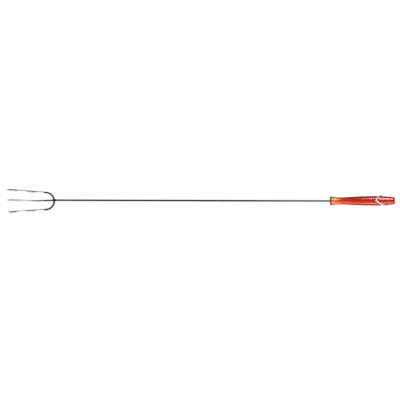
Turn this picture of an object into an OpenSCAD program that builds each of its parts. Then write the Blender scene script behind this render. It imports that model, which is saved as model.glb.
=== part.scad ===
// Campfire roasting fork, lying flat as it rests on a table.
// +X runs along the shaft from the tine tips to the butt of the handle, +Z is up,
// the origin is on the table under the middle of the steel and wood.
// The tine tips touch the table, and the handle is propped on the knot of its
// own hanging loop, which is folded back under the handle.

/* [Overall] */
// Length from the tine tips to the butt of the handle
overall_l = 914.4; // [760:0.1:1100]

/* [Steel rod] */
// Diameter of the rod that the shaft and the tines are made of
rod_d = 4; // [3.2:0.1:4.4]
// Length of the ground point on each tine
point_l = 9; // [6:0.5:14]
// Diameter left at the very tip of a point
tip_d = 0.7; // [0.5:0.1:1]

/* [Tines] */
// Bend radius of the bow that joins the two outer tines, to the rod's centre
bow_r = 20; // [17:0.5:26]
// How far the bow's middle sits to one side of the shaft
bow_offset = 2.1; // [0:0.1:4]
// Length from the tips to the outside of the bow
fork_l = 114.8; // [95:0.1:140]
// Outward splay of the tine on the +Y side
splay_top = 4.1; // [1:0.1:7]
// Outward splay of the tine on the -Y side
splay_bottom = 4; // [1:0.1:7]
// How much shorter the tine on the -Y side is
short_bottom = 3.2; // [0:0.1:8]
// How much shorter the centre tine is
short_centre = 1; // [0:0.1:8]
// Diameter of the centre tine
centre_d = 3.6; // [3:0.1:4.4]
// Sideways set of the centre tine where it is bent, halfway along
centre_set = 1.7; // [1:0.1:3]

/* [Weld] */
// Diameter of the bead where shaft, bow and centre tine meet
weld_d = 6; // [5.8:0.1:7]

/* [Handle] */
// Length of the turned wooden handle
handle_l = 153; // [130:1:180]
// Diameter at the belly
belly_d = 22.8; // [20:0.1:26]
// Diameter at the neck
neck_d = 16.8; // [14:0.1:18]
// Diameter of the flare at the front
flare_d = 21; // [18:0.1:22]
// Diameter just before the rounded butt
butt_d = 18.1; // [15:0.1:19]
// Angle between the handle and its bore, which turns the butt towards +Y
handle_set = 0.4; // [0:0.1:0.8]
// Depth of the bore that holds the tang
tang_depth = 80; // [50:1:85]
// Length of the tang inside the handle
tang_l = 76; // [40:1:80]

/* [Hanging loop] */
// Diameter of the cotton cord
cord_d = 2.8; // [2.4:0.1:3]
// Diameter of the cross hole that the cord passes through
hole_d = 7.2; // [6.8:0.1:8]
// Distance from the butt to the cross hole
hole_from_butt = 45.2; // [40:0.1:55]
// Lean of the cross hole from the vertical, its upper mouth towards +Y
hole_lean = 10; // [0:1:15]
// Height of the flattened knot that the handle rests on
knot_h = 7.4; // [6.8:0.1:9]
// Width of the knot
knot_w = 11.4; // [9:0.1:13]
// Length of the knot
knot_l = 11; // [9:0.1:14]

/* [Hidden] */
$fn = 48;
rod_r = rod_d / 2;
bend_r = rod_r - 0.03;                 // a bent stretch draws a hair thinner than a straight one
lap = 0.5;                             // straight stretches start this far inside a bend
cord_r = cord_d / 2;
x_tip = -overall_l / 2;
x_butt = overall_l / 2;
x_front = x_butt - handle_l;
x_apex = x_tip + fork_l - rod_r;       // rod centre at the end of the bow
x_bow = x_apex - bow_r;                // centre of the bow's circle
x_hole = x_butt - hole_from_butt;
hole_r = hole_d / 2;

// ---- the handle's turned profile ------------------------------------------------
// Stations along the handle: [share of the length, which two diameters it lies
// between and how far]. The share and blend values are round, chosen by eye.
function mix(a, b, t) = a + (b - a) * t;
handle_pts = [
    [0.000, 0.66 * flare_d / 2],
    [0.002, 0.84 * flare_d / 2],
    [0.008, 0.95 * flare_d / 2],
    [0.020, flare_d / 2],
    [0.042, mix(neck_d, flare_d, 0.80) / 2],
    [0.072, mix(neck_d, flare_d, 0.46) / 2],
    [0.112, mix(neck_d, flare_d, 0.14) / 2],
    [0.160, neck_d / 2],
    [0.220, mix(neck_d, belly_d, 0.07) / 2],
    [0.290, mix(neck_d, belly_d, 0.30) / 2],
    [0.370, mix(neck_d, belly_d, 0.55) / 2],
    [0.460, mix(neck_d, belly_d, 0.76) / 2],
    [0.550, mix(neck_d, belly_d, 0.89) / 2],
    [0.640, mix(neck_d, belly_d, 0.97) / 2],
    [0.700, belly_d / 2],
    [0.760, mix(butt_d, belly_d, 0.92) / 2],
    [0.830, mix(butt_d, belly_d, 0.66) / 2],
    [0.900, mix(butt_d, belly_d, 0.26) / 2],
    [0.955, butt_d / 2],
    [0.980, 0.94 * butt_d / 2],
    [0.994, 0.80 * butt_d / 2],
    [1.000, 0.56 * butt_d / 2]
];
// Catmull-Rom spline through a list of points, k pieces to each span.
function cr(a, b, c, d, t) =
    0.5 * (2 * b + (c - a) * t + (2 * a - 5 * b + 4 * c - d) * t * t
           + (3 * b - a - 3 * c + d) * t * t * t);
function at(p, i) = p[max(0, min(len(p) - 1, i))];
function spline(p, k) = concat(
    [for (i = [0 : len(p) - 2]) for (j = [0 : k - 1])
        cr(at(p, i - 1), p[i], p[i + 1], at(p, i + 2), j / k)],
    [p[len(p) - 1]]);
// Radius of the handle's long curve at a distance u from its front face.
function span_of(s, i = 0) =
    (i >= len(handle_pts) - 2 || s <= handle_pts[i + 1][0]) ? i : span_of(s, i + 1);
function handle_r(u) =
    let (s = u / handle_l, i = span_of(s), a = handle_pts[i], b = handle_pts[i + 1])
    cr(at(handle_pts, i - 1)[1], a[1], b[1], at(handle_pts, i + 2)[1],
       (s - a[0]) / (b[0] - a[0]));

// ---- how the fork lies -------------------------------------------------------------
// The outer tines touch the table at the heel of their points, and the handle's
// neck lies on the knot. tilt raises the handle end by that much.
x_heel = x_tip + point_l;
x_neck = x_front + 0.160 * handle_l;
lie_a = x_neck - x_heel;
lie_b = neck_d / 2 - rod_r;
rest_gap = 0.35;                       // between the knot's flat top and the neck
tilt = asin((knot_h + rest_gap) / norm([lie_a, lie_b])) + atan(lie_b / lie_a);
lie_z = rod_r * cos(tilt) - x_heel * sin(tilt);
// Where a point at distance s along a line at angle a ends, seen from above.
top_end = [x_bow + bow_r * sin(splay_top), -bow_offset + bow_r * cos(splay_top)];
bottom_end = [x_bow + bow_r * sin(splay_bottom), -bow_offset - bow_r * cos(splay_bottom)];
top_l = (top_end[0] - x_tip) / cos(splay_top);
bottom_l = (bottom_end[0] - x_tip - short_bottom) / cos(splay_bottom);
top_y = top_end[1] + top_l * sin(splay_top);
bottom_y = bottom_end[1] - bottom_l * sin(splay_bottom);
shift_y = -(top_y + bottom_y) / 2;

module lie() { translate([0, shift_y, lie_z]) rotate([0, -tilt, 0]) children(); }
function lie_pt(p) = [
    p[0] * cos(tilt) - p[2] * sin(tilt),
    p[1] + shift_y,
    p[0] * sin(tilt) + p[2] * cos(tilt) + lie_z];

// The handle is turned about the mouth of its bore by the bore's error.
module set_handle() {
    translate([x_front, 0, 0]) rotate([0, 0, handle_set]) translate([-x_front, 0, 0]) children();
}
function set_pt(p) = [
    x_front + (p[0] - x_front) * cos(handle_set) - p[1] * sin(handle_set),
    (p[0] - x_front) * sin(handle_set) + p[1] * cos(handle_set), p[2]];

// ---- rods --------------------------------------------------------------------------
// A rod along +X with a ground point at its far end.
module pointed_rod(l, d) {
    rotate([0, 90, 0]) union() {
        translate([0, 0, -lap]) cylinder(h = l - point_l + lap, r = d / 2);
        translate([0, 0, l - point_l])
            cylinder(h = point_l, r1 = d / 2, r2 = tip_d / 2);
    }
}

// Half ring that follows the bow, and that the butt welds are cut to fit.
module bow_ring() {
    translate([x_bow, -bow_offset, 0]) rotate([0, 0, -80])
        rotate_extrude(angle = 160) translate([bow_r, 0]) circle(r = bend_r);
}

module bow_and_tines() {
    union() {
        translate([x_bow, -bow_offset, 0])
            rotate([0, 0, -(90 - splay_bottom)])
                rotate_extrude(angle = 180 - splay_top - splay_bottom)
                    translate([bow_r, 0]) circle(r = bend_r);
        translate([top_end[0], top_end[1], 0]) rotate([0, 0, 180 - splay_top])
            pointed_rod(top_l, rod_d);
        translate([bottom_end[0], bottom_end[1], 0]) rotate([0, 0, 180 + splay_bottom])
            pointed_rod(bottom_l, rod_d);
    }
}

// The centre tine leaves the bow slightly to -Y, is bent once and comes back to
// the line of the shaft at its tip.
centre_x0 = x_apex - 0.3;
centre_bend_x = x_tip + 66;
centre_lead = atan((centre_set - 0.3) / (centre_x0 - centre_bend_x));
centre_back = atan((centre_set + 0.2) / (centre_bend_x - x_tip - short_centre));
centre_turn = centre_lead + centre_back;
centre_bend_r = 240;
centre_cut = centre_bend_r * tan(centre_turn / 2);   // straight lost to the bend
centre_lead_l = (centre_x0 - centre_bend_x) / cos(centre_lead) - centre_cut;
centre_back_l = (centre_bend_x - x_tip - short_centre) / cos(centre_back) - centre_cut;

module centre_rod() {
    // Starts inside the bow and is cut to its surface afterwards.
    translate([centre_x0, -0.3, 0])
        rotate([0, 0, 180 + centre_lead]) {
            rotate([0, 90, 0]) cylinder(h = centre_lead_l + lap, r = centre_d / 2);
            translate([centre_lead_l, 0, 0]) {
                translate([0, -centre_bend_r, 0])
                    rotate([0, 0, 90 - centre_turn])
                        rotate_extrude(angle = centre_turn, $fn = 720)
                            translate([centre_bend_r, 0]) circle(r = centre_d / 2 - 0.03);
                translate([centre_bend_r * sin(centre_turn),
                           -centre_bend_r * (1 - cos(centre_turn)), 0])
                    rotate([0, 0, -centre_turn]) pointed_rod(centre_back_l, centre_d);
            }
        }
}

// The shaft runs from the outside of the bow into the handle. Two ears are pinched
// out of the tang's end so that it can't turn or pull out of the wood.
module shaft_rod() {
    x0 = x_apex + rod_r - 1.4;
    translate([x0, 0, 0]) rotate([0, 90, 0]) cylinder(h = x_front + tang_l - x0, r = rod_r);
}
module tang_ears() {
    for (x = [x_front + tang_l - 24, x_front + tang_l - 12])
        translate([x, 0, 0]) linear_extrude(height = 1, center = true)
            polygon([[-3.5, -rod_r + 0.3], [-1.5, -rod_r - 0.9], [1.5, -rod_r - 0.9], [3.5, -rod_r + 0.3],
                     [3.5, rod_r - 0.3], [1.5, rod_r + 0.9], [-1.5, rod_r + 0.9], [-3.5, rod_r - 0.3]]);
}

module shaft() {
    color([0.23, 0.23, 0.22]) lie() difference() {
        union() { shaft_rod(); tang_ears(); }
        bow_ring();
    }
}

module tine_bow() { color([0.16, 0.16, 0.16]) lie() bow_and_tines(); }

module centre_tine() {
    color([0.72, 0.70, 0.67]) lie() difference() { centre_rod(); bow_ring(); }
}

// Bead of weld around the joint, cut to the three rods that it joins.
module weld_bead() {
    w = weld_d / 2;
    color([0.08, 0.08, 0.08]) lie() difference() {
        translate([x_apex, 0, 0]) rotate([0, 90, 0])
            rotate_extrude() polygon(concat(
                [[0, -5.4]],
                spline([[rod_r - 0.7, -5.4], [rod_r + 0.25, -4.4], [rod_r + 0.55, -3.2], [w * 0.97, -1.5], [w, 0.2],
                        [w * 0.93, 1.7], [rod_r + 0.5, 3.3], [rod_r + 0.25, 4.8], [rod_r - 0.7, 5.8]], 3),
                [[0, 5.8]]));
        bow_ring();
        translate([x_apex - 20, 0, 0]) rotate([0, 90, 0]) cylinder(h = 60, r = rod_r);
        centre_rod();
    }
}

// ---- handle ------------------------------------------------------------------------
module hole_axis() {
    // z along the cross hole, upper mouth at +z, x still along the handle
    translate([x_hole, 0, 0]) rotate([-hole_lean, 0, 0]) children();
}
mouth_r = handle_r(handle_l - hole_from_butt);
module mouth_round(side) {
    // the rim of a mouth, eased with a small radius
    e = 1.1;
    mirror([0, 0, side]) translate([0, 0, mouth_r])
        rotate_extrude() polygon(concat(
            [[0, -1.9]],
            [[hole_r - 0.05, -1.9]],
            [for (a = [0 : 15 : 90]) [hole_r + e - e * cos(a), -e - 0.35 + e * sin(a)]],
            [[hole_r + e + 0.4, -0.2], [hole_r + e + 0.4, 1], [0, 1]]));
}
module handle() {
    color([0.78, 0.16, 0.05]) lie() difference() {
        set_handle() translate([x_front, 0, 0]) rotate([0, 90, 0])
            rotate_extrude() polygon(concat(
                [[0, 0]],
                [for (p = spline(handle_pts, 3)) [p[1], p[0] * handle_l]],
                [[0, handle_l]]));
        translate([x_front - 1, 0, 0]) rotate([0, 90, 0]) cylinder(h = 1 + tang_depth, r = rod_r);
        set_handle() hole_axis() cylinder(h = 2 * belly_d, r = hole_r, center = true);
        set_handle() hole_axis() { mouth_round(0); mouth_round(1); }
    }
}

// ---- cord --------------------------------------------------------------------------
// Parallel-transport frames keep the tube's eight sides from twisting.
function unit(v) = v / norm(v);
function tangents(p) = [for (i = [0 : len(p) - 1])
    unit(p[min(len(p) - 1, i + 1)] - p[max(0, i - 1)])];
function frames(t, u, i = 0) =
    i >= len(t) ? [] :
    let (n = unit(u - (u * t[i]) * t[i])) concat([n], frames(t, n, i + 1));
module tube(p, r, first, last, side) {
    t0 = tangents(p);
    t = [for (i = [0 : len(t0) - 1]) i == 0 ? first : i == len(t0) - 1 ? last : t0[i]];
    u = frames(t, side);
    m = 8;
    polyhedron(
        points = [for (i = [0 : len(p) - 1]) for (j = [0 : m - 1])
            let (a = 360 * (j + 0.5) / m, v = cross(t[i], u[i]))
            p[i] + r * (cos(a) * u[i] + sin(a) * v)],
        faces = concat(
            [[for (j = [0 : m - 1]) j]],
            [for (i = [0 : len(p) - 2]) for (j = [0 : m - 1]) let (k = (j + 1) % m)
                [i * m + k, i * m + j, (i + 1) * m + j, (i + 1) * m + k]],
            [[for (j = [m - 1 : -1 : 0]) (len(p) - 1) * m + j]]));
}

// The hitch: the cord comes up through the cross hole as a bight, and the bight is
// slipped over the butt, so that its two arms run from the upper mouth over both
// flanks towards the butt and meet under the handle.
// Stations of the wrap: [degrees round from the top towards +Y, distance from the
// hole towards the butt, extra height above the wood]
wrap = [
    [17, 2.0, 1.2], [20, 2.7, 1.8], [26, 3.8, 1.5], [36, 5.1, 0.8], [48, 6.5, 0.3],
    [60, 7.8, 0.1], [75, 9.7, 0], [90, 11.4, 0], [105, 13.2, 0], [120, 15.2, 0],
    [135, 17.4, 0], [150, 19.8, 0], [165, 22.2, 0], [180, 24.4, 0], [195, 26.2, 0],
    [210, 27.4, 0], [225, 27.8, 0], [240, 27.4, 0], [255, 26.2, 0], [270, 24.2, 0],
    [285, 21.6, 0], [300, 18.3, 0], [315, 14.6, 0], [327, 11.6, 0.1], [338, 8.8, 0.3],
    [347, 6.6, 0.9], [354, 4.9, 1.5], [359, 3.6, 1.8], [362, 2.8, 1.2]
];
// Stations inside the hole, from the lower mouth up: [share of the mouth's
// distance from the axis, distance towards the butt]
well = [[-0.8, 0.9], [-0.45, 0.5], [0, 0.4], [0.45, 0.8], [0.8, 1.2]];
pair = cord_r + 0.06;     // half the spacing of the two strands in the hole

function around(w) =
    let (u = handle_l - hole_from_butt + w[1], q = handle_r(u) + cord_r + 0.15 + w[2])
    set_pt([x_hole + w[1], q * sin(w[0]), q * cos(w[0])]);
function in_hole(s, side) =
    let (z = s[0] * mouth_r, y = side * pair)
    set_pt([x_hole + s[1], y * cos(hole_lean) + z * sin(hole_lean),
            z * cos(hole_lean) - y * sin(hole_lean)]);

// Where the two strands leave the lower mouth, on a level plane just under it.
mouth = lie_pt(set_pt([x_hole, -mouth_r * sin(hole_lean), -mouth_r * cos(hole_lean)]));
leave_z = mouth[2] - 0.1;
function leave_pt(side) = [mouth[0] + 1.1, mouth[1] + side * pair, leave_z];

hitch_path = concat(
    [leave_pt(1)],
    [for (s = well) lie_pt(in_hole(s, 1))],
    [for (w = wrap) lie_pt(around(w))],
    [for (i = [len(well) - 1 : -1 : 0]) lie_pt(in_hole(well[i], -1))],
    [leave_pt(-1)]);

module cord_hitch() {
    color([0.95, 0.92, 0.84]) tube(hitch_path, cord_r, [0, 0, 1], [0, 0, -1], [0, 1, 0]);
}

// The two strands drop to the table in a bend of two cord diameters and run under
// the handle to the knot, in slight curves.
knot_x = lie_pt([x_neck, 0, 0])[0];
drop_r = 2 * cord_d;
table_z = cord_r;
drop_from = asin((table_z + drop_r - leave_z) / drop_r);
run_x = leave_pt(1)[0] - drop_r * (cos(drop_from));
run_end = knot_x + knot_l / 2 - 0.6;
// Stations of each strand on the table: [share of the run, distance from the
// handle's middle line, height above the table of its underside]
run_a = [[0.10, 0.6, 0], [0.22, 1.9, 0], [0.36, 3.3, 0], [0.50, 4.0, 0], [0.64, 3.9, 0],
         [0.78, 3.1, 0], [0.90, 2.3, 0.5], [1.00, 1.9, 1.3]];
run_b = [[0.10, -2.7, 0], [0.22, -3.2, 0], [0.36, -3.1, 0], [0.50, -2.5, 0], [0.64, -1.8, 0],
         [0.78, -1.5, 0], [0.90, -1.6, 0.5], [1.00, -1.7, 1.3]];
function drop(side) = [for (k = [0 : 4])
    let (a = mix(drop_from, 90, k / 4))
    [leave_pt(side)[0] - drop_r * (cos(drop_from) - cos(a)), leave_pt(side)[1],
     table_z + drop_r - drop_r * sin(a)]];
function run(st) = [for (s = st) [mix(run_x, run_end, s[0]), shift_y + s[1], table_z + s[2]]];
function strand_path(side, st) = concat(drop(side), run(st));

module cord_strand_a() {
    color([0.95, 0.92, 0.84]) tube(strand_path(1, run_a), cord_r, [0, 0, -1], [-1, 0, 0], [0, 1, 0]);
}
module cord_strand_b() {
    color([0.95, 0.92, 0.84]) tube(strand_path(-1, run_b), cord_r, [0, 0, -1], [-1, 0, 0], [0, 1, 0]);
}

// Overhand knot tied in both strands together, pressed flat between the neck and
// the table, with two short tails.
module cord_knot() {
    c = 3.2;
    color([0.95, 0.92, 0.84]) translate([knot_x, shift_y, 0]) {
        difference() {
            hull() for (sx = [-1, 1]) for (sy = [-1, 1])
                translate([sx * (knot_l / 2 - c), sy * (knot_w / 2 - c), knot_h / 2])
                    rotate_extrude($fn = 32) polygon(concat([[0, -knot_h / 2]],
                        [for (a = [-90 : 15 : 90])
                            [c * 0.35 + c * 0.65 * cos(a), knot_h / 2 * sin(a)]],
                        [[0, knot_h / 2]]));
            translate([knot_l / 2 - 0.6, -20, -1]) cube([20, 40, 20]);
        }
        for (s = [[1, 2.4], [-1, 1.9]])
            translate([-knot_l / 2 + 0.3, s[0] * s[1], 0]) rotate([0, 0, -s[0] * 9])
                translate([-9, 0, cord_r]) rotate([0, 90, 0]) cylinder(h = 9, r = cord_r, $fn = 24);
    }
}

shaft();
tine_bow();
centre_tine();
weld_bead();
handle();
cord_hitch();
cord_strand_a();
cord_strand_b();
cord_knot();
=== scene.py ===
import math

import bmesh
import bpy
import numpy as np
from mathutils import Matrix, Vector


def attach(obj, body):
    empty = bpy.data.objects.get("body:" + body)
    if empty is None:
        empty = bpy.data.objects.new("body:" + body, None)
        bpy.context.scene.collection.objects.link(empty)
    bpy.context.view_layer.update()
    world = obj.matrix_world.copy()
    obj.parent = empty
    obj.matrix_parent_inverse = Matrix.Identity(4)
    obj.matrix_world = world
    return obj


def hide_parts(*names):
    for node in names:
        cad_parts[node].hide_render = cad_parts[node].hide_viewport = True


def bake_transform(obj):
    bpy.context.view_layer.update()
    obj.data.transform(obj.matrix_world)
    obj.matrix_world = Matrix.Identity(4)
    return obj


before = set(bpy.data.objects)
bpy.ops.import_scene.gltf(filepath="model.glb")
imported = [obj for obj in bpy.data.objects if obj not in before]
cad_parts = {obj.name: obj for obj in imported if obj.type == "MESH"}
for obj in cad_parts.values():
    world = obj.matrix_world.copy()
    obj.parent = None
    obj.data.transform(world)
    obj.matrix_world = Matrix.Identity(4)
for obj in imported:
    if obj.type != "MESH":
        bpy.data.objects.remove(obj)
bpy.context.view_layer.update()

MM = 0.001

# ---- the part's own dimensions, in millimetres, as in its CAD source ----------------
OVERALL_L, ROD_D, POINT_L, TIP_D = 914.4, 4.0, 9.0, 0.7
BOW_R, BOW_OFFSET, FORK_L = 20.0, 2.1, 114.8
SPLAY_TOP, SPLAY_BOTTOM, SHORT_BOTTOM = 4.1, 4.0, 3.2
SHORT_CENTRE, CENTRE_D, CENTRE_SET = 1.0, 3.6, 1.7
HANDLE_L, BELLY_D, NECK_D, FLARE_D, BUTT_D = 153.0, 22.8, 16.8, 21.0, 18.1
HANDLE_SET, TANG_L = 0.4, 76.0
CORD_D, HOLE_D, HOLE_FROM_BUTT, HOLE_LEAN = 2.8, 7.2, 45.2, 10.0
KNOT_H, KNOT_W, KNOT_L, REST_GAP = 7.4, 11.4, 11.0, 0.35

ROD_R, CORD_R, HOLE_R = ROD_D / 2, CORD_D / 2, HOLE_D / 2
X_TIP, X_BUTT = -OVERALL_L / 2, OVERALL_L / 2
X_FRONT = X_BUTT - HANDLE_L
X_APEX = X_TIP + FORK_L - ROD_R
X_BOW = X_APEX - BOW_R
X_HOLE = X_BUTT - HOLE_FROM_BUTT


def mix(a, b, t):
    return a + (b - a) * t


HANDLE_PTS = [
    (0.000, 0.66 * FLARE_D / 2), (0.002, 0.84 * FLARE_D / 2), (0.008, 0.95 * FLARE_D / 2),
    (0.020, FLARE_D / 2), (0.042, mix(NECK_D, FLARE_D, 0.80) / 2),
    (0.072, mix(NECK_D, FLARE_D, 0.46) / 2), (0.112, mix(NECK_D, FLARE_D, 0.14) / 2),
    (0.160, NECK_D / 2), (0.220, mix(NECK_D, BELLY_D, 0.07) / 2),
    (0.290, mix(NECK_D, BELLY_D, 0.30) / 2), (0.370, mix(NECK_D, BELLY_D, 0.55) / 2),
    (0.460, mix(NECK_D, BELLY_D, 0.76) / 2), (0.550, mix(NECK_D, BELLY_D, 0.89) / 2),
    (0.640, mix(NECK_D, BELLY_D, 0.97) / 2), (0.700, BELLY_D / 2),
    (0.760, mix(BUTT_D, BELLY_D, 0.92) / 2), (0.830, mix(BUTT_D, BELLY_D, 0.66) / 2),
    (0.900, mix(BUTT_D, BELLY_D, 0.26) / 2), (0.955, BUTT_D / 2),
    (0.980, 0.94 * BUTT_D / 2), (0.994, 0.80 * BUTT_D / 2), (1.000, 0.56 * BUTT_D / 2),
]


def cr(a, b, c, d, t):
    return 0.5 * (2 * b + (c - a) * t + (2 * a - 5 * b + 4 * c - d) * t * t + (3 * b - a - 3 * c + d) * t ** 3)


def at(p, i):
    return p[max(0, min(len(p) - 1, i))]


def catmull(points, k):
    p = [np.array(q, float) for q in points]
    out = []
    for i in range(len(p) - 1):
        for j in range(k):
            out.append(cr(at(p, i - 1), p[i], p[i + 1], at(p, i + 2), j / k))
    return np.array(out + [p[-1]])


def handle_r(u):
    s = u / HANDLE_L
    i = 0
    while i < len(HANDLE_PTS) - 2 and s > HANDLE_PTS[i + 1][0]:
        i += 1
    a, b = HANDLE_PTS[i], HANDLE_PTS[i + 1]
    return cr(at(HANDLE_PTS, i - 1)[1], a[1], b[1], at(HANDLE_PTS, i + 2)[1], (s - a[0]) / (b[0] - a[0]))


# ---- how the fork lies ---------------------------------------------------------------
X_HEEL, X_NECK = X_TIP + POINT_L, X_FRONT + 0.160 * HANDLE_L
LIE_A, LIE_B = X_NECK - X_HEEL, NECK_D / 2 - ROD_R
TILT = math.asin((KNOT_H + REST_GAP) / math.hypot(LIE_A, LIE_B)) + math.atan(LIE_B / LIE_A)
CT, ST = math.cos(TILT), math.sin(TILT)
LIE_Z = ROD_R * CT - X_HEEL * ST
SA, SB = math.radians(SPLAY_TOP), math.radians(SPLAY_BOTTOM)
TOP_END = np.array([X_BOW + BOW_R * math.sin(SA), -BOW_OFFSET + BOW_R * math.cos(SA), 0])
BOTTOM_END = np.array([X_BOW + BOW_R * math.sin(SB), -BOW_OFFSET - BOW_R * math.cos(SB), 0])
TOP_L = (TOP_END[0] - X_TIP) / math.cos(SA)
BOTTOM_L = (BOTTOM_END[0] - X_TIP - SHORT_BOTTOM) / math.cos(SB)
SHIFT_Y = -((TOP_END[1] + TOP_L * math.sin(SA)) + (BOTTOM_END[1] - BOTTOM_L * math.sin(SB))) / 2


def lie(p):
    """Points of the straight fork, laid down as it rests on the table."""
    p = np.asarray(p, float)
    return np.stack([p[..., 0] * CT - p[..., 2] * ST, p[..., 1] + SHIFT_Y,
                     p[..., 0] * ST + p[..., 2] * CT + LIE_Z], axis=-1)


CH, SH = math.cos(math.radians(HANDLE_SET)), math.sin(math.radians(HANDLE_SET))


def set_handle(p):
    """Points of the handle, turned about the mouth of its bore by the bore's error."""
    p = np.asarray(p, float)
    x, y = p[..., 0] - X_FRONT, p[..., 1]
    return np.stack([X_FRONT + x * CH - y * SH, x * SH + y * CH, p[..., 2]], axis=-1)


# ---- camera ----------------------------------------------------------------------------
cam_data = bpy.data.cameras.new("photo_camera")
cam_data.type = "ORTHO"
cam_data.ortho_scale = 0.9410
cam_data.clip_start, cam_data.clip_end = 0.01, 10
camera = bpy.data.objects.new("photo_camera", cam_data)
bpy.context.scene.collection.objects.link(camera)
camera.location = (-0.0015, 0.00338, 1.6)
camera.rotation_euler = (0, 0, math.radians(0.169))
bpy.context.scene.camera = camera


# ---- mesh helpers ------------------------------------------------------------------------
def make_object(name, verts, faces, uvs=None, attrs=None, smooth=True, scale=MM):
    mesh = bpy.data.meshes.new(name)
    mesh.from_pydata((np.asarray(verts) * scale).tolist(), [], [tuple(f) for f in faces])
    if uvs is not None:
        layer = mesh.uv_layers.new(name="along")
        flat = np.array([c for f in uvs for c in f], np.float32)
        layer.data.foreach_set("uv", flat.ravel())
    for key, values in (attrs or {}).items():
        a = mesh.attributes.new(key, "FLOAT", "POINT")
        a.data.foreach_set("value", np.asarray(values, np.float32))
    mesh.validate()
    mesh.update()
    for p in mesh.polygons:
        p.use_smooth = smooth
    obj = bpy.data.objects.new(name, mesh)
    bpy.context.scene.collection.objects.link(obj)
    return obj


def resample(p, step=None, n=None):
    p = np.asarray(p, float)
    s = np.r_[0, np.cumsum(np.linalg.norm(np.diff(p, axis=0), axis=1))]
    n = n or max(2, int(round(s[-1] / step)) + 1)
    t = np.linspace(0, s[-1], n)
    return np.stack([np.interp(t, s, p[:, k]) for k in range(3)], axis=1)


def blur(p, sigma, step):
    """Smooths a line with a Gaussian, with its ends held."""
    half = max(1, int(3 * sigma / step))
    w = np.exp(-0.5 * (np.arange(-half, half + 1) * step / sigma) ** 2)
    w /= w.sum()
    lead = 2 * p[0] - p[1:half + 1][::-1]
    tail = 2 * p[-1] - p[-half - 1:-1][::-1]
    q = np.r_[lead, p, tail]
    return np.stack([np.convolve(q[:, k], w, mode="valid") for k in range(q.shape[1])], axis=1)


def unit(v):
    return v / np.maximum(np.linalg.norm(v, axis=-1, keepdims=True), 1e-12)


def frames(p, side):
    """Tangents and two normals that don't turn about the line."""
    t = unit(np.gradient(p, axis=0))
    u = np.zeros_like(p)
    cur = np.array(side, float)
    for i in range(len(p)):
        cur = cur - (cur @ t[i]) * t[i]
        cur /= np.linalg.norm(cur)
        u[i] = cur
    return t, u, np.cross(t, u)


class Shape:
    """Collects the vertices, faces and values of one mesh."""

    def __init__(self):
        self.v, self.f, self.uv, self.cleft, self.n = [], [], [], [], 0

    def rings(self, rings, uvs=None, cleft=None, cap=True):
        k, m = rings.shape[:2]
        base = self.n
        self.v.append(rings.reshape(-1, 3))
        self.cleft.append(np.zeros(k * m) if cleft is None else np.asarray(cleft, float).reshape(-1))
        self.n += k * m
        j = np.arange(m)
        jn = (j + 1) % m
        for i in range(k - 1):
            a, b = base + i * m, base + (i + 1) * m
            self.f += list(zip(a + j, a + jn, b + jn, b + j))
            if uvs is not None:
                u0, u1, v0, v1 = uvs[0][i], uvs[0][i + 1], uvs[1][i], uvs[1][i + 1]
                for q in range(m):
                    self.uv.append([(u0, v0 + q / m), (u0, v0 + (q + 1) / m), (u1, v1 + (q + 1) / m), (u1, v1 + q / m)])
        if cap:
            self.f.append(tuple(base + m - 1 - j))
            self.f.append(tuple(base + (k - 1) * m + j))
            if uvs is not None:
                for i in (0, k - 1):
                    self.uv.append([(uvs[0][i], uvs[1][i] + q / m) for q in range(m)])
        return self

    def build(self, name, **kw):
        attrs = {"cleft": np.concatenate(self.cleft)}
        return make_object(name, np.concatenate(self.v), self.f, self.uv if self.uv else None, attrs, **kw)


def sweep(p, radius, m=40, side=(0, 0, 1), shape=None):
    """Rings of a round rod along p. radius is a number, one for each point, or one for each point and angle."""
    t, u, v = frames(p, side)
    a = 2 * np.pi * np.arange(m) / m
    r = np.asarray(radius, float)
    r = np.broadcast_to(r.reshape(-1, 1) if r.ndim < 2 else r, (len(p), m))
    return p[:, None, :] + r[..., None] * (np.cos(a)[None, :, None] * u[:, None, :] + np.sin(a)[None, :, None] * v[:, None, :])


# ---- the cord --------------------------------------------------------------------------
# One twisted three-ply cotton cord. Its whole line, from one tail to the other, is laid first and
# cut into pieces afterwards, so that its twist runs on from piece to piece.
WRAP = [
    (17, 2.0, 1.2), (20, 2.7, 1.8), (26, 3.8, 1.5), (36, 5.1, 0.8), (48, 6.5, 0.3),
    (60, 7.8, 0.1), (75, 9.7, 0), (90, 11.4, 0), (105, 13.2, 0), (120, 15.2, 0),
    (135, 17.4, 0), (150, 19.8, 0), (165, 22.2, 0), (180, 24.4, 0), (195, 26.2, 0),
    (210, 27.4, 0), (225, 27.8, 0), (240, 27.4, 0), (255, 26.2, 0), (270, 24.2, 0),
    (285, 21.6, 0), (300, 18.3, 0), (315, 14.6, 0), (327, 11.6, 0.1), (338, 8.8, 0.3),
    (347, 6.6, 0.9), (354, 4.9, 1.5), (359, 3.6, 1.8), (362, 2.8, 1.2),
]
WELL = [(-0.8, 0.9), (-0.45, 0.5), (0, 0.4), (0.45, 0.8), (0.8, 1.2)]
PAIR = CORD_R + 0.06
LEAN = math.radians(HOLE_LEAN)
MOUTH_R = handle_r(HANDLE_L - HOLE_FROM_BUTT)
MOUTH = lie(set_handle([X_HOLE, -MOUTH_R * math.sin(LEAN), -MOUTH_R * math.cos(LEAN)]))
LEAVE_Z = MOUTH[2] - 0.1
KNOT_X = lie([X_NECK, 0, 0])[0]
DROP_R, TABLE_Z = 2 * CORD_D, CORD_R
DROP_FROM = math.asin((TABLE_Z + DROP_R - LEAVE_Z) / DROP_R)
LEAVE_X = MOUTH[0] + 1.1
RUN_X, RUN_END = LEAVE_X - DROP_R * math.cos(DROP_FROM), KNOT_X + KNOT_L / 2 - 0.6
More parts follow.
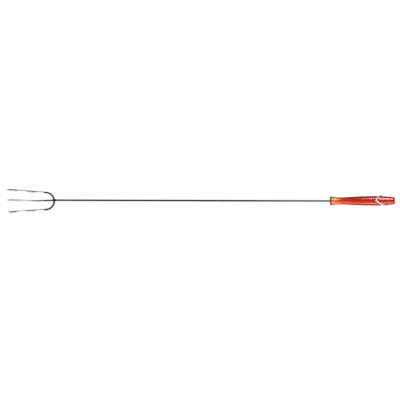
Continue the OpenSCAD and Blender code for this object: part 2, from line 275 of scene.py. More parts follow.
RUN_A = [(0.10, 0.6, 0), (0.22, 1.9, 0), (0.36, 3.3, 0), (0.50, 4.0, 0), (0.64, 3.9, 0), (0.78, 3.1, 0)]
RUN_B = [(0.10, -2.7, 0), (0.22, -3.2, 0), (0.36, -3.1, 0), (0.50, -2.5, 0), (0.64, -1.8, 0), (0.78, -1.5, 0)]


def around(w):
    u, a = HANDLE_L - HOLE_FROM_BUTT + w[1], math.radians(w[0])
    q = handle_r(u) + CORD_R + 0.02 + w[2]
    return lie(set_handle([X_HOLE + w[1], q * math.sin(a), q * math.cos(a)]))


def in_hole(s, side):
    z, y = s[0] * MOUTH_R, side * PAIR
    return lie(set_handle([X_HOLE + s[1], y * math.cos(LEAN) + z * math.sin(LEAN), z * math.cos(LEAN) - y * math.sin(LEAN)]))


def drop(side):
    return [np.array([LEAVE_X - DROP_R * (math.cos(DROP_FROM) - math.cos(a)), MOUTH[1] + side * PAIR,
                      TABLE_Z + DROP_R - DROP_R * math.sin(a)])
            for a in np.linspace(DROP_FROM, math.pi / 2, 5)]


def run(stations):
    return [np.array([mix(RUN_X, RUN_END, s), SHIFT_Y + y, TABLE_Z + z]) for s, y, z in stations]


def tie_knot(n=110, steps=1150, D=CORD_D, squeeze=0.93, height=KNOT_H):
    """An overhand knot tied in two strands at once, drawn tight: a loose one is shortened step by step while
    the strands are kept from passing through each other. Returns both centrelines round the origin."""
    half, far = 17.0, 44.0
    t = np.linspace(-2.12, 2.12, 400)
    p = np.c_[(t ** 5 - 10 * t) / 11 * 12, (t ** 3 - 3 * t) / 1.6 * 10, (t ** 4 - 4 * t ** 2) / 2.2 * 10]
    p[:, 2] -= p[:, 2].mean()
    if p[-1, 0] < 0:
        p = p[::-1]
    a = np.linspace(0, 1, 30)[1:, None]

    def lead(e, d, x):
        goal = np.array([x, 0, 0.0])
        return ((1 - a) ** 3 * e + 3 * (1 - a) ** 2 * a * (e + d * 5)
                + 3 * (1 - a) * a ** 2 * (goal - np.array([np.sign(x) * 6, 0, 0])) + a ** 3 * goal)

    p = np.r_[lead(p[0], unit(p[0] - p[1]), -far)[::-1], p, lead(p[-1], unit(p[-1] - p[-2]), far)]
    p = resample(p, n=n)
    _, u, _ = frames(p, (0, 1, 0.3))
    X = np.r_[p + u * D * 0.55, p - u * D * 0.55]
    h = np.linalg.norm(np.diff(X[:n], axis=0), axis=1).mean()
    every_i, every_j = np.triu_indices(2 * n, 1)
    same = (every_i // n) == (every_j // n)
    I = J = None
    for it in range(steps):
        f = it / steps
        if it % 6 == 0:
            skip = int(math.ceil(1.45 * D / h))
            ok = ~(same & (np.abs(every_i - every_j) < skip))
            d = X[every_j] - X[every_i]
            near = ok & ((d * d).sum(1) < (D * 1.7) ** 2)
            I, J = every_i[near], every_j[near]
        for k, sx, sy in ((0, -1, 1), (n - 1, 1, 1), (n, -1, -1), (2 * n - 1, 1, -1)):
            goal = np.array([sx * far, sy * D * 0.5, 0.0])
            d = goal - X[k]
            X[k] += d * min(1, 0.4 / max(np.linalg.norm(d), 1e-9))
        for _ in range(5):
            for a0, b0 in ((0, n), (n, 2 * n)):
                for odd in (0, 1):
                    i = np.arange(a0 + odd, b0 - 1, 2)
                    d = X[i + 1] - X[i]
                    l = np.linalg.norm(d, axis=1)[:, None]
                    c = 0.5 * (l - h) / l * d * np.where(l > h, 1.0, 0.25)
                    X[i] += c
                    X[i + 1] -= c
                mean = (X[a0:b0 - 4] + X[a0 + 4:b0]) / 2
                X[a0 + 2:b0 - 2] += 0.05 * (mean - X[a0 + 2:b0 - 2])
            d = X[n:] - X[:n]
            l = np.linalg.norm(d, axis=1)[:, None]
            c = 0.25 * np.clip(l - D * 1.04, 0, 0.5 * D) / l * d
            X[:n] += c
            X[n:] -= c
            for _rep in range(3):
                d = X[J] - X[I]
                l = np.linalg.norm(d, axis=1)
                hit = l < D * squeeze
                if not hit.any():
                    break
                i, j, l2 = I[hit], J[hit], l[hit][:, None]
                w = np.ones(len(X))
                np.add.at(w, i, 1)
                np.add.at(w, j, 1)
                c = (D * squeeze - l2) / l2 * d[hit] * 0.5 * (1.6 / np.maximum(w[i], w[j]))[:, None]
                np.add.at(X, i, -c)
                np.add.at(X, j, c)
            if f > 0.35:
                g = min(1, (f - 0.35) / 0.4)
                lim = (height / 2 - D / 2 * 0.97) * g + 14 * (1 - g)
                X[:, 2] = np.clip(X[:, 2], -lim, lim)
        seg = np.r_[np.linalg.norm(np.diff(X[:n], axis=0), axis=1), np.linalg.norm(np.diff(X[n:], axis=0), axis=1)]
        if seg.mean() / h < 1.03:
            h *= 0.9985 if f < 0.8 else 0.9995
    return X[:n], X[n:]


def through_knot(line):
    """The part of a strand inside the knot, from the tails' side to the run's side."""
    p = blur(resample(line, step=0.2), 0.6, 0.2)
    inside = np.where((p[:, 0] > -6.6) & (p[:, 0] < 7.2))[0]
    return p[inside[0]:inside[-1] + 1] + np.array([KNOT_X, SHIFT_Y, KNOT_H / 2])


def tail(e, side):
    """The short end of a strand beyond the knot, falling to the table, from its cut end on."""
    out = [np.array([e[0] - 1.6, mix(e[1], SHIFT_Y + side * 2.3, 0.3), mix(e[2], TABLE_Z, 0.35)]),
           np.array([e[0] - 3.6, SHIFT_Y + side * 2.6, mix(e[2], TABLE_Z, 0.8)]),
           np.array([e[0] - 6.0, SHIFT_Y + side * 3.1, TABLE_Z]),
           np.array([e[0] - 8.6, SHIFT_Y + side * 3.9, TABLE_Z])]
    return np.array(out)[::-1]


strand_1, strand_2 = tie_knot()
if strand_1[-1, 1] < strand_2[-1, 1]:
    strand_1, strand_2 = strand_2, strand_1
knot_1, knot_2 = through_knot(strand_1), through_knot(strand_2)
side_1 = 1 if knot_1[0, 1] > knot_2[0, 1] else -1
run_a = drop(1) + run(RUN_A)
run_b = drop(-1) + run(RUN_B)
part_a = np.r_[tail(knot_1[0], side_1), knot_1, np.array(run_a)[::-1]]
part_b = np.r_[tail(knot_2[0], -side_1), knot_2, np.array(run_b)[::-1]]
hitch = ([in_hole(s, 1) for s in WELL] + [around(w) for w in WRAP] + [in_hole(s, -1) for s in WELL[::-1]])

STEP = 0.2


def smooth_line(points, sigma=0.7):
    """A close, even line through the points, eased where they turn."""
    p = resample(catmull(points, 8), step=STEP)
    return blur(p, sigma, STEP)


whole = np.r_[part_a, np.array(hitch), part_b[::-1]]
LINE = smooth_line(whole)
LINE[:, 2] = np.maximum(LINE[:, 2], TABLE_Z + 0.01)
ALONG = np.r_[0, np.cumsum(np.linalg.norm(np.diff(LINE, axis=0), axis=1))]
LAY = 9.4                      # length of one full turn of the plies
PLY_A, PLY_B = 0.75, 0.65      # radius of a ply and of the circle that the plies lie on
T_ALL, U_ALL, V_ALL = frames(LINE, (0, 1, 0))
RING = 36


def ply_radius(a):
    """Outline of three round plies that lie against each other, and 0..1 for how deep in a groove it is."""
    b = (a + np.pi / 3) % (2 * np.pi / 3) - np.pi / 3
    r = PLY_B * np.cos(b) + np.sqrt(np.maximum(PLY_A ** 2 - (PLY_B * np.sin(b)) ** 2, 0))
    groove = np.clip((PLY_A + PLY_B - r) / (PLY_A + PLY_B - 0.80), 0, 1)
    return r, groove


# Ring angles are closer together in the three grooves.
_q = np.linspace(-0.5, 0.5, RING // 3, endpoint=False) + 0.5 / (RING // 3)
_q = np.sin(_q * np.pi * 0.94) / np.sin(0.47 * np.pi) * 0.5 * 0.97
RING_A = np.concatenate([(k + _q) * 2 * np.pi / 3 for k in range(3)])
RING_R, RING_G = ply_radius(RING_A)


def rope_rings(i0, i1, shrink=None):
    i = np.arange(i0, i1)
    phase = 2 * np.pi * ALONG[i] / LAY
    a = RING_A[None, :] + phase[:, None]
    r = np.broadcast_to(RING_R[None, :], a.shape).copy()
    if shrink is not None:
        r *= shrink[:, None]
    ring = LINE[i][:, None, :] + r[..., None] * (np.cos(a)[..., None] * U_ALL[i][:, None, :] + np.sin(a)[..., None] * V_ALL[i][:, None, :])
    # The groove depth of each point, which darkens the cord's colour as painted shade in the grooves.
    cleft = np.broadcast_to(RING_G[None, :], a.shape)
    return ring, (ALONG[i] * 0.1, (phase / (2 * np.pi))), cleft


def nearest_index(point, lo=0, hi=None):
    hi = hi or len(LINE)
    return lo + int(np.argmin(np.linalg.norm(LINE[lo:hi] - np.asarray(point), axis=1)))


def first_passage(i, way, x):
    """Going along the line from point i, the first point that is nearer the tines than x."""
    while LINE[i][0] > x:
        i += way
    return i


middle = len(LINE) // 2
i_hole_a = nearest_index(in_hole((0, 0), 1), 0, middle)
i_hole_b = nearest_index(in_hole((0, 0), -1), middle)
i_knot_a = first_passage(i_hole_a, -1, KNOT_X + 6.4)
i_knot_b = first_passage(i_hole_b, 1, KNOT_X + 6.4)


def drawn_in(i0, i1, lap0, lap1):
    """Shares of the full radius from i0 to i1: where two pieces of the cord overlap, this one is the thinner
    over its first lap0 and last lap1 points, so that no two skins lie in one place."""
    q = np.ones(i1 - i0)
    q[:lap0] = 0.93
    if lap1:
        q[-lap1:] = 0.93
    return q


def rope(name, i0, i1, lap0, lap1):
    shape = Shape()
    ring, uv, cleft = rope_rings(i0, i1, drawn_in(i0, i1, lap0, lap1))
    shape.rings(ring, uv, cleft)
    return shape.build(name)


hitch_rope = rope("hitch_rope", i_hole_a - 2, i_hole_b + 3, 2, 2)
strand_a = rope("loop_strand_a", i_knot_a - 4, i_hole_a + 3, 4, 2)
strand_b = rope("loop_strand_b", i_hole_b - 2, i_knot_b + 5, 2, 4)

# The knot: both strands through it and their cut ends, where the plies open up a little.
knot_shape = Shape()
for i0, i1, lap0, lap1 in ((0, i_knot_a + 4, 0, 3), (i_knot_b - 3, len(LINE), 3, 0)):
    ring, uv, cleft = rope_rings(i0, i1, drawn_in(i0, i1, lap0, lap1))
    knot_shape.rings(ring, uv, cleft)
knot_rope = knot_shape.build("tied_knot")


def frayed_end(name, i_end, direction, seed):
    """Ends of the three plies and their yarns, standing a little apart."""
    rng = np.random.default_rng(seed)
    e, t, u, v = LINE[i_end], T_ALL[i_end] * direction, U_ALL[i_end], V_ALL[i_end]
    phase = 2 * np.pi * ALONG[i_end] / LAY
    shape = Shape()
    for k in range(3):
        a0 = phase + k * 2 * np.pi / 3
        for q in range(7):
            around_ply = rng.uniform(0, 2 * np.pi)
            off = PLY_A * 0.55 * math.sqrt(rng.uniform(0.05, 1))
            start = (e + (PLY_B * math.cos(a0) + off * math.cos(around_ply)) * u
                     + (PLY_B * math.sin(a0) + off * math.sin(around_ply)) * v - t * 0.8)
            out = (math.cos(a0) * u + math.sin(a0) * v) * 0.35 + (math.cos(around_ply) * u + math.sin(around_ply) * v) * 0.28
            long = rng.uniform(1.7, 3.1)
            s = np.linspace(0, 1, 9)[:, None]
            curl = rng.uniform(-0.5, 0.5, 3)
            p = start + t * long * s + out * long * s ** 1.8 * 0.8 + curl * 0.5 * np.sin(s * 3)
            p[:, 2] = np.maximum(p[:, 2], 0.22)
            r = 0.20 * (1 - 0.45 * s[:, 0] ** 2)
            shape.rings(sweep(p, r, m=7, side=(0, 1, 0.2)), cleft=np.full(9 * 7, 0.15))
    shape.uv = []
    obj = shape.build(name)
    return obj


fray_a = frayed_end("tail_fray_a", 0, -1, 11)
fray_b = frayed_end("tail_fray_b", len(LINE) - 1, 1, 12)

for obj, node in ((strand_a, "cord_strand_a"), (strand_b, "cord_strand_b")):
    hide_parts(node)
    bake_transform(obj)
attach(hitch_rope, "fork")
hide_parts("cord_hitch")
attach(knot_rope, "hang_loop")
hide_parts("cord_knot")
for obj in (fray_a, fray_b):
    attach(obj, "hang_loop")


# ---- handle ------------------------------------------------------------------------------
def profile():
    """(distance from the front face, radius) along the outside of the turned handle."""
    rng = np.random.default_rng(7)
    p = catmull(HANDLE_PTS, 24)
    s, r = p[:, 0] * HANDLE_L, p[:, 1]
    u = np.arange(0, HANDLE_L + 0.01, 0.2)
    base = np.interp(u, s, r)
    soft = blur(np.c_[base, base, base], 3.2, 0.2)[:, 0]
    wobble = np.zeros_like(u)
    for wave in (5.5, 9.0, 14.0, 23.0):
        wobble += 0.0045 * math.sqrt(wave / 9) * np.sin(2 * np.pi * u / wave + rng.uniform(0, 6.28))
    keep = np.clip((u - 7) / 5, 0, 1) * np.clip((HANDLE_L - 7.5 - u) / 5, 0, 1)
    keep = keep * keep * (3 - 2 * keep)
    inner = base * (1 - keep) + (soft + wobble) * keep
    head = p[p[:, 0] * HANDLE_L < 7] * np.array([HANDLE_L, 1])
    foot = p[p[:, 0] * HANDLE_L > HANDLE_L - 7.5] * np.array([HANDLE_L, 1])
    body = np.c_[u, inner][(u > 7.2) & (u < HANDLE_L - 7.7)][::3]
    return np.r_[head, body, foot]


def build_handle():
    m = 160
    out = profile()
    # The bore, its chamfer and the front face, then the outside, then the butt with a small centre mark.
    start = [(26.0, 0.0), (26.0, ROD_R + 0.07), (3.0, ROD_R + 0.07), (0.9, ROD_R + 0.08), (0.55, ROD_R + 0.16), (0.25, ROD_R + 0.38),
             (0.08, ROD_R + 0.62), (0.0, ROD_R + 0.9), (0.0, 4.2), (0.0, 5.6)]
    end = [(HANDLE_L, 4.0), (HANDLE_L, 2.6), (HANDLE_L, 1.1), (HANDLE_L - 0.12, 0.95), (HANDLE_L - 0.75, 0.0)]
    prof = np.r_[np.array(start), out, np.array(end)]
    a = 2 * np.pi * np.arange(m) / m
    verts, faces, rows = [], [], []
    for x, r in prof:
        if r < 1e-6:
            rows.append([len(verts)])
            verts.append((X_FRONT + x, 0, 0))
        else:
            rows.append(list(range(len(verts), len(verts) + m)))
            verts += [(X_FRONT + x, r * math.cos(t), r * math.sin(t)) for t in a]
    for r0, r1 in zip(rows, rows[1:]):
        for j in range(m):
            k = (j + 1) % m
            if len(r0) == 1:
                faces.append((r0[0], r1[k], r1[j]))
            elif len(r1) == 1:
                faces.append((r0[j], r0[k], r1[0]))
            else:
                faces.append((r0[j], r0[k], r1[k], r1[j]))
    verts = np.array(verts)
    bored = sum(len(row) for row in rows[:len(start) - 2])      # the bore follows the rod, the rest the handle
    verts[bored:] = set_handle(verts[bored:])
    body = make_object("turned_handle", lie(verts), faces)
    bm = bmesh.new()
    bm.from_mesh(body.data)
    bmesh.ops.recalc_face_normals(bm, faces=bm.faces)
    bm.to_mesh(body.data)
    bm.free()
    # the cross hole with its eased mouths
    e = 1.1
    half = [(0.0, HOLE_R), (MOUTH_R - 1.9, HOLE_R)]
    for q in range(0, 91, 9):
        half.append((MOUTH_R - e - 0.35 + e * math.sin(math.radians(q)), HOLE_R + e - e * math.cos(math.radians(q))))
    half += [(MOUTH_R - 0.2, HOLE_R + e + 0.4), (MOUTH_R + 4, HOLE_R + e + 0.6)]
    prof = [(-z, r) for z, r in half[::-1]] + half[1:]
    prof = [(prof[0][0], 0.0)] + prof + [(prof[-1][0], 0.0)]
    n = 96
    verts, faces, rows = [], [], []
    for z, r in prof:
        if r < 1e-6:
            rows.append([len(verts)])
            verts.append((0, 0, z))
        else:
            rows.append(list(range(len(verts), len(verts) + n)))
            verts += [(r * math.cos(2 * math.pi * j / n), r * math.sin(2 * math.pi * j / n), z) for j in range(n)]
    for r0, r1 in zip(rows, rows[1:]):
        for j in range(n):
            k = (j + 1) % n
            if len(r0) == 1:
                faces.append((r0[0], r1[k], r1[j]))
            elif len(r1) == 1:
                faces.append((r0[j], r0[k], r1[0]))
            else:
                faces.append((r0[j], r0[k], r1[k], r1[j]))
    v = np.array(verts)
    v = np.c_[v[:, 0] + X_HOLE, v[:, 1] * math.cos(LEAN) + v[:, 2] * math.sin(LEAN),
              v[:, 2] * math.cos(LEAN) - v[:, 1] * math.sin(LEAN)]
    cutter = make_object("cutter", lie(set_handle(v)), faces)
    bm = bmesh.new()
    bm.from_mesh(cutter.data)
    bmesh.ops.recalc_face_normals(bm, faces=bm.faces)
    bm.to_mesh(cutter.data)
    bm.free()
    mod = body.modifiers.new("hole", "BOOLEAN")
    mod.operation, mod.solver, mod.object = "DIFFERENCE", "EXACT", cutter
    bpy.context.view_layer.update()
    done = bpy.data.meshes.new_from_object(body.evaluated_get(bpy.context.evaluated_depsgraph_get()))
    body.modifiers.clear()
    old = body.data
    body.data = done
    bpy.data.meshes.remove(old)
    cut_mesh = cutter.data
    bpy.data.objects.remove(cutter)
    bpy.data.meshes.remove(cut_mesh)
    body.data.name = "turned_handle"
    return body


def mark_sharp(obj, degrees):
    """Smooth shading with the edges sharper than this left sharp."""
    me = obj.data
    bm = bmesh.new()
    bm.from_mesh(me)
    for edge in bm.edges:
        edge.smooth = not (len(edge.link_faces) == 2 and edge.calc_face_angle(0) > math.radians(degrees))
    for face in bm.faces:
        face.smooth = True
    bm.to_mesh(me)
    bm.free()


handle = build_handle()
mark_sharp(handle, 38)
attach(handle, "fork")
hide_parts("handle")


# ---- steel -------------------------------------------------------------------------------
def tine(line, d, seed, m=48):
    """A rod along line with a ground point at its end, on which the grinding left a few flats."""
    rng = np.random.default_rng(seed)
    length = np.linalg.norm(np.diff(line, axis=0), axis=1).sum()
    coarse = np.linspace(0, 1, max(2, int((length - POINT_L - 2) / 1.5)))
    s = np.r_[coarse * (length - POINT_L - 2), length - POINT_L - 2 + np.linspace(0, 1, 15)[1:] * 2,
              length - POINT_L + np.linspace(0, 1, 40)[1:] * (POINT_L - 0.30), length - 0.30 + 0.30 * np.sin(np.linspace(0, 1, 8)[1:] * np.pi / 2)]
    cum = np.r_[0, np.cumsum(np.linalg.norm(np.diff(line, axis=0), axis=1))]
    p = np.stack([np.interp(s, cum, line[:, k]) for k in range(3)], axis=1)
    q = np.clip((s - (length - POINT_L)) / (POINT_L - 0.30), 0, 1)
    r = np.where(s < length - POINT_L, d / 2, mix(d / 2, TIP_D / 2 + 0.02, q))
    r = np.where((s > length - POINT_L - 0.7) & (s < length - POINT_L + 0.9),
                 d / 2 - 0.5 * (mix(0, (d - TIP_D) / 2, 1 / POINT_L)) * ((s - (length - POINT_L) + 0.7) / 1.6).clip(0, 1) ** 2 * 1.6, r)
    round_off = np.clip((s - (length - 0.30)) / 0.30, 0, 1)
    r = np.minimum(r, np.where(round_off > 0, (TIP_D / 2 + 0.02) * np.sqrt(np.maximum(1 - round_off ** 2, 0.0025)), r))
    a = 2 * np.pi * np.arange(m) / m
    rr = np.repeat(r[:, None], m, axis=1)
    # flats
    for k in range(5):
        mid, depth = 2 * np.pi * k / 5 + rng.uniform(-0.25, 0.25), rng.uniform(0.86, 0.93)
        start = length - POINT_L * rng.uniform(0.80, 1.12)
        away = (a - mid + np.pi) % (2 * np.pi) - np.pi
        flat = depth / np.maximum(np.cos(away), 0.05)
        on = np.clip((s - start) / (POINT_L * 0.35), 0, 1)[:, None]
        limit = rr * mix(1.6, flat[None, :], on)
        rr = np.where(np.abs(away)[None, :] < 1.3, np.minimum(rr, limit), rr)
    return sweep(p, rr, m=m, side=(0, 0, 1))


def straight(a, b, step=1.0):
    a, b = np.array(a, float), np.array(b, float)
    n = max(2, int(np.linalg.norm(b - a) / step))
    return a + (b - a) * np.linspace(0, 1, n)[:, None]


def bow_line(side):
    """From the middle of the bow round to one tip."""
    if side > 0:
        ang = np.radians(np.linspace(0, 90 - SPLAY_TOP, 60))
        end = TOP_END
        d = np.array([-math.cos(SA), math.sin(SA), 0]) * TOP_L
    else:
        ang = -np.radians(np.linspace(0, 90 - SPLAY_BOTTOM, 60))
        end = BOTTOM_END
        d = np.array([-math.cos(SB), -math.sin(SB), 0]) * BOTTOM_L
    arc = np.c_[X_BOW + BOW_R * np.cos(ang), -BOW_OFFSET + BOW_R * np.sin(ang), 0 * ang]
    line = np.r_[arc[:-1], straight(end, end + d)]
    line = resample(line, step=0.5)
    return blur(line, 1.2, 0.5)


def build_bow():
    shape = Shape()
    rings = []
    for side, seed in ((1, 3), (-1, 4)):
        r = tine(bow_line(side), ROD_D, seed)
        rings.append(r)
    # Both halves start at the same ring; the second is turned round to run into the first.
    first, second = rings
    m = first.shape[1]
    order = (-np.arange(m)) % m
    back = second[:, order][::-1]
    whole_bow = np.r_[back[:-1], first]
    shape.rings(lie(whole_bow))
    return shape.build("bow_and_tines")


def centre_line():
    x0, bx = X_APEX - 0.3, X_TIP + 66
    lead = math.atan((CENTRE_SET - 0.3) / (x0 - bx))
    back = math.atan((CENTRE_SET + 0.2) / (bx - X_TIP - SHORT_CENTRE))
    turn, R = lead + back, 240.0
    cut = R * math.tan(turn / 2)
    l1, l2 = (x0 - bx) / math.cos(lead) - cut, (bx - X_TIP - SHORT_CENTRE) / math.cos(back) - cut
    pts = [np.array([0, 0.0]), np.array([l1, 0.0])]
    for k in range(1, 13):
        w = turn * k / 12
        pts.append(np.array([l1 + R * math.sin(w), -R * (1 - math.cos(w))]))
    e = pts[-1]
    pts.append(e + l2 * np.array([math.cos(turn), -math.sin(turn)]))
    a = math.pi + lead
    line = [(x0 + p[0] * math.cos(a) - p[1] * math.sin(a), -0.3 + p[0] * math.sin(a) + p[1] * math.cos(a), 0) for p in pts]
    return blur(resample(np.array(line), step=0.5), 1.5, 0.5)


bow = build_bow()
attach(bow, "fork")
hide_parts("tine_bow")
centre = Shape().rings(lie(tine(centre_line(), CENTRE_D, 5))).build("middle_tine")
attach(centre, "fork")
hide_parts("centre_tine")
for obj in (bow, centre):
    mark_sharp(obj, 32)


def build_shaft():
    x0, x1 = X_APEX + ROD_R - 1.4, X_FRONT + TANG_L
    x = np.r_[np.arange(x0, x1, 4.0), x1]
    q = np.clip((x - x0) / (X_FRONT - x0), 0, 1)
    bow_y = 0.45 * np.sin(np.pi * q) ** 2 * 0          # kept straight inside the bore and at the weld
    p = np.c_[x, bow_y, 0 * x]
    shape = Shape().rings(lie(sweep(p, ROD_R, m=56)))
    # two pinched ears on the hidden tang
    for cx in (X_FRONT + TANG_L - 24, X_FRONT + TANG_L - 12):
        xs = np.linspace(-3.5, 3.5, 15)
        w = ROD_R - 0.3 + 1.2 * np.clip((3.5 - np.abs(xs)) / 2, 0, 1)
        a = 2 * np.pi * np.arange(24) / 24
        ring = np.stack([np.stack([np.full(24, cx + xi), wi * np.cos(a), 0.5 * np.sin(a)], axis=1) for xi, wi in zip(xs, w)])
        shape.rings(lie(ring))
    return shape.build("shaft_rod")


shaft = build_shaft()
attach(shaft, "fork")
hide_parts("shaft")


def build_weld():
    """Overlapping dabs of weld, melted together by a voxel remesh and rippled."""
    rng = np.random.default_rng(21)
    bm = bmesh.new()

    def dab(c, r, subdiv=3):
        made = bmesh.ops.create_icosphere(bm, subdivisions=subdiv, radius=1.0)
        for v in made["verts"]:
            p = np.array(v.co) * np.array(r) + np.array(c)
            v.co = Vector(p)

    dab((X_APEX + 0.2, 0, 0), (3.1, 2.85, 2.75))
    for x, rx, r in ((-2.0, 1.9, 2.62), (-3.5, 1.5, 2.30), (-4.6, 1.1, 1.98), (2.1, 1.9, 2.72), (3.6, 1.6, 2.45), (4.9, 1.2, 2.2)):
        dab((X_APEX + x, rng.uniform(-0.1, 0.1), rng.uniform(-0.08, 0.08)), (rx, r, r))
    for k in (-1, 1):
        for d, r in ((2.2, 2.45), (3.7, 2.25), (4.9, 2.1)):
            a = k * d / BOW_R
            dab((X_BOW + BOW_R * math.cos(a), -BOW_OFFSET + BOW_R * math.sin(a) + BOW_OFFSET * (1 - min(1, d / 3)), 0), (r, 1.6, r))
    for k in range(9):
        a, x = rng.uniform(0, 6.28), rng.uniform(-2.6, 2.8)
        dab((X_APEX + x, 2.5 * math.cos(a), 2.4 * math.sin(a)), (0.8, 0.62, 0.62), 2)
    mesh = bpy.data.meshes.new("weld_raw")
    for v in bm.verts:
        v.co = Vector((lie(np.array(v.co)) * MM).tolist())
    bm.to_mesh(mesh)
    bm.free()
    obj = bpy.data.objects.new("weld_skin", mesh)
    bpy.context.scene.collection.objects.link(obj)
    mod = obj.modifiers.new("melt", "REMESH")
    mod.mode, mod.voxel_size, mod.use_smooth_shade = "VOXEL", 0.00013, True
    smooth = obj.modifiers.new("flow", "SMOOTH")
    smooth.factor, smooth.iterations = 0.5, 9
    bpy.context.view_layer.update()
    done = bpy.data.meshes.new_from_object(obj.evaluated_get(bpy.context.evaluated_depsgraph_get()))
    obj.modifiers.clear()
    obj.data = done
    bpy.data.meshes.remove(mesh)
    co = np.zeros(len(done.vertices) * 3, np.float32)
    no = np.zeros(len(done.vertices) * 3, np.float32)
    done.vertices.foreach_get("co", co)
    done.vertices.foreach_get("normal", no)
    co, no = co.reshape(-1, 3).astype(float), no.reshape(-1, 3).astype(float)
    p = co * 1000
    centre = lie(np.array([X_APEX, 0, 0]))
    d = p - centre
    ripple = np.sin(2 * np.pi * (d[:, 0] * 0.95 + 0.55 * np.abs(d[:, 1]) + 0.25 * np.sin(d[:, 2] * 1.7)) / 0.85)
    soft = np.exp(-(np.abs(d[:, 0]) / 4.6) ** 4)
    co += no * (0.045 * ripple * soft)[:, None] * MM
    done.vertices.foreach_set("co", co.astype(np.float32).ravel())
    done.update()
    for f in done.polygons:
        f.use_smooth = True
    done.name = "weld_skin"
    return obj


weld = build_weld()
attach(weld, "fork")
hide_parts("weld_bead")


# ---- materials -----------------------------------------------------------------------------
class Nodes:
    """Short calls for building a node tree."""

    def __init__(self, name):
        self.mat = bpy.data.materials.new(name)
        self.mat.use_nodes = True
        self.nt = self.mat.node_tree
        self.nt.nodes.clear()
        self.out = self.nt.nodes.new("ShaderNodeOutputMaterial")
        self.bsdf = self.nt.nodes.new("ShaderNodeBsdfPrincipled")
        self.nt.links.new(self.bsdf.outputs[0], self.out.inputs[0])
        self.coord = self.nt.nodes.new("ShaderNodeTexCoord")

    def set(self, **kw):
        for key, value in kw.items():
            self.bsdf.inputs[key.replace("_", " ")].default_value = value

    def link(self, a, b):
        self.nt.links.new(a, b)

    def to(self, socket, name):
        self.nt.links.new(socket, self.bsdf.inputs[name])

    def mapped(self, scale, location=(0, 0, 0), rotation=(0, 0, 0)):
        n = self.nt.nodes.new("ShaderNodeMapping")
        n.inputs["Scale"].default_value = scale
        n.inputs["Location"].default_value = location
        n.inputs["Rotation"].default_value = rotation
        self.link(self.coord.outputs["Object"], n.inputs["Vector"])
        return n.outputs[0]

    def noise(self, vector, scale=1.0, detail=4.0, rough=0.5, distort=0.0):
        n = self.nt.nodes.new("ShaderNodeTexNoise")
        n.inputs["Scale"].default_value = scale
        n.inputs["Detail"].default_value = detail
        n.inputs["Roughness"].default_value = rough
        n.inputs["Distortion"].default_value = distort
        self.link(vector, n.inputs["Vector"])
        return n.outputs["Fac"]

    def ramp(self, fac, stops, mode="LINEAR"):
        n = self.nt.nodes.new("ShaderNodeValToRGB")
        n.color_ramp.interpolation = mode
        while len(n.color_ramp.elements) > 1:
            n.color_ramp.elements.remove(n.color_ramp.elements[-1])
        n.color_ramp.elements[0].position = stops[0][0]
        n.color_ramp.elements[0].color = (*stops[0][1], 1)
        for pos, col in stops[1:]:
            e = n.color_ramp.elements.new(pos)
            e.color = (*col, 1)
        self.link(fac, n.inputs["Fac"])
        return n.outputs["Color"]

    def grey(self, fac, stops):
        return self.ramp(fac, [(p, (g, g, g)) for p, g in stops])

    def math(self, op, a, b=0.0, c=None, clamp=False):
        n = self.nt.nodes.new("ShaderNodeMath")
        n.operation, n.use_clamp = op, clamp
        for i, x in enumerate((a, b) if c is None else (a, b, c)):
            if isinstance(x, (int, float)):
                n.inputs[i].default_value = x
            else:
                self.link(x, n.inputs[i])
        return n.outputs[0]

    def axis(self, name, vector=None):
        n = self.nt.nodes.new("ShaderNodeSeparateXYZ")
        self.link(vector or self.coord.outputs["Object"], n.inputs[0])
        return n.outputs[name]

    def range(self, value, a, b, lo=0.0, hi=1.0, smooth=False):
        n = self.nt.nodes.new("ShaderNodeMapRange")
        n.interpolation_type = "SMOOTHSTEP" if smooth else "LINEAR"
        n.clamp = True
        for key, x in (("From Min", a), ("From Max", b), ("To Min", lo), ("To Max", hi)):
            n.inputs[key].default_value = x
        self.link(value, n.inputs["Value"])
        return n.outputs[0]

    def mix(self, fac, a, b, kind="MIX"):
        n = self.nt.nodes.new("ShaderNodeMix")
        n.data_type, n.blend_type = "RGBA", kind
        for i, x in ((0, fac), (6, a), (7, b)):
            if isinstance(x, (int, float)):
                n.inputs[i].default_value = x
            elif isinstance(x, tuple):
                n.inputs[i].default_value = (*x, 1)
            else:
                self.link(x, n.inputs[i])
        return n.outputs[2]

    def bump(self, height, strength=0.3, distance=0.0001, normal=None):
        n = self.nt.nodes.new("ShaderNodeBump")
        n.inputs["Strength"].default_value = strength
        n.inputs["Distance"].default_value = distance
        self.link(height, n.inputs["Height"])
        if normal is not None:
            self.link(normal, n.inputs["Normal"])
        return n.outputs[0]

    def attribute(self, name):
        n = self.nt.nodes.new("ShaderNodeAttribute")
        n.attribute_name = name
        return n.outputs["Fac"]


